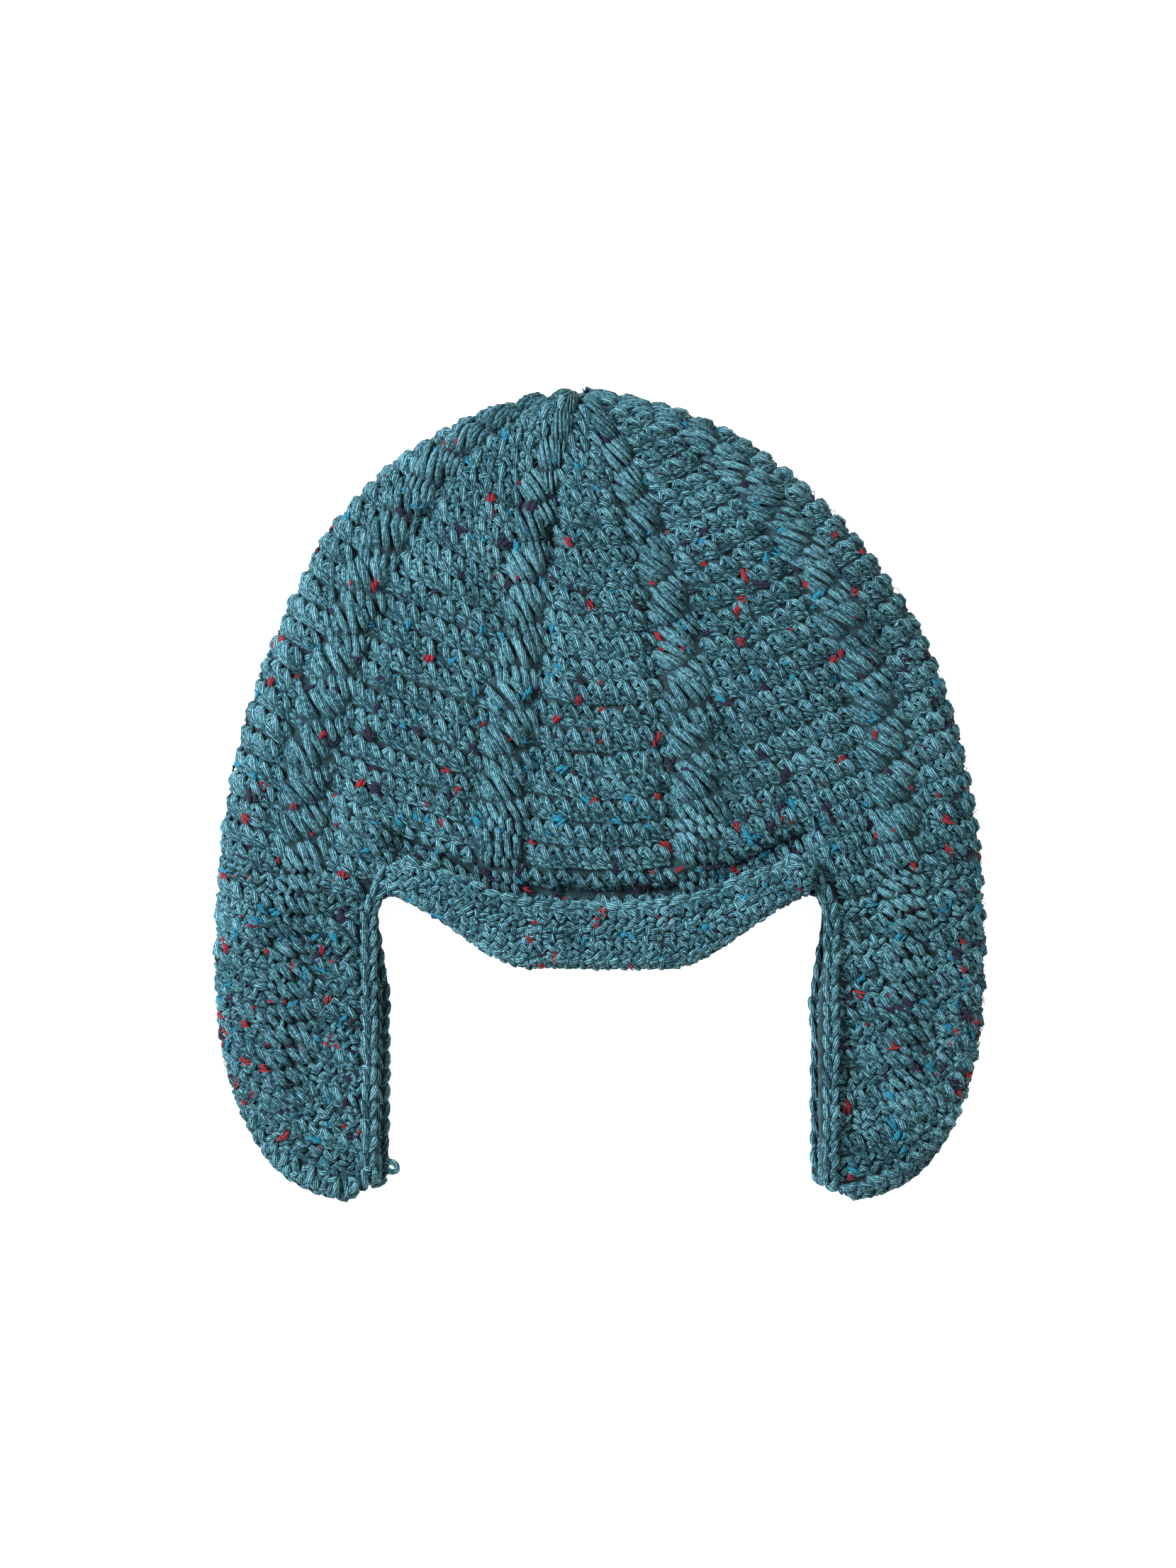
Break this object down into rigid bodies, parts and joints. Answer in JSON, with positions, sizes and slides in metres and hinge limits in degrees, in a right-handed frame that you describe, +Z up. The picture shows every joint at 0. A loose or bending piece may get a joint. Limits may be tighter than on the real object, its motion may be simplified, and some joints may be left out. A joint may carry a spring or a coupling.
{
  "type": "earflap cap",
  "caption": "Thick knit cap lying flat on its back, with raised cables over a rounded crown, a turned-up brow flap and two ear flaps folded along the sides",
  "frame": {"origin": "on the floor under the middle of the cap as it lies on its back", "axes": "+Z up, +Y towards the top of the crown, +X to the right of the brow side as seen from above"},
  "size_m": [0.275, 0.2878, 0.0376],
  "materials": {
    "yarn": "thick teal tweed yarn, matte, slightly fuzzy",
    "yarn_reverse": "the same teal tweed yarn, wrong side of the work showing",
    "yarn_edge": "the same teal tweed yarn in a chain edging"
  },
  "bodies": {
    "root": {"crown": "yarn", "ear_flap_left": "yarn", "ear_flap_right": "yarn", "brow_flap": "yarn_reverse", "edging": "yarn_edge"}
  },
  "joints": []
}
